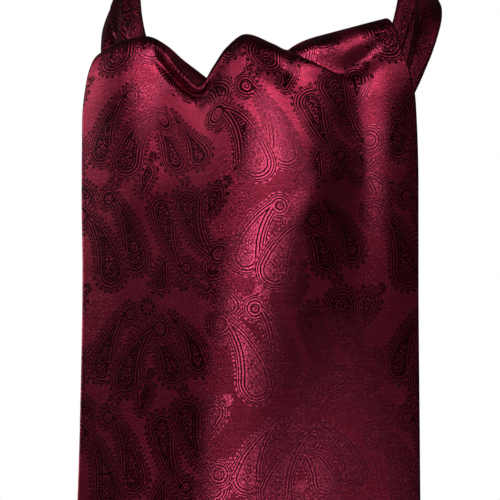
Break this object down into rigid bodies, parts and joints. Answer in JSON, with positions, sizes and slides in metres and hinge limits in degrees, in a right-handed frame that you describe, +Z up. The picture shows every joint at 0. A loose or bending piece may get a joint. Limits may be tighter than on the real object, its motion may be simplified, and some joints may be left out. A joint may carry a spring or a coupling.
{
  "type": "silk cravat",
  "caption": "Tied silk cravat as worn: pleated neckband round the neck, ends crossed at the throat, wide pointed blade rolled over them and falling down the front",
  "frame": {"origin": "on the inner face of the neckband at the nape, half way up the band", "axes": "+X to the right of someone facing the cravat, +Y from the front to the nape, +Z up"},
  "size_m": [0.1653, 0.178, 0.389],
  "materials": {
    "band_silk": "burgundy silk jacquard with a paisley weave, soft gloss, laid in pleats",
    "wrap_silk": "burgundy silk jacquard with a paisley weave, soft gloss, gathered",
    "under_silk": "burgundy silk jacquard with a paisley weave, soft gloss",
    "blade_silk": "burgundy silk jacquard with a paisley weave, soft gloss, pinker in the light"
  },
  "bodies": {
    "root": {"neckband": "band_silk", "cross_wrap": "wrap_silk", "under_blade": "under_silk", "front_blade": "blade_silk"}
  },
  "joints": []
}
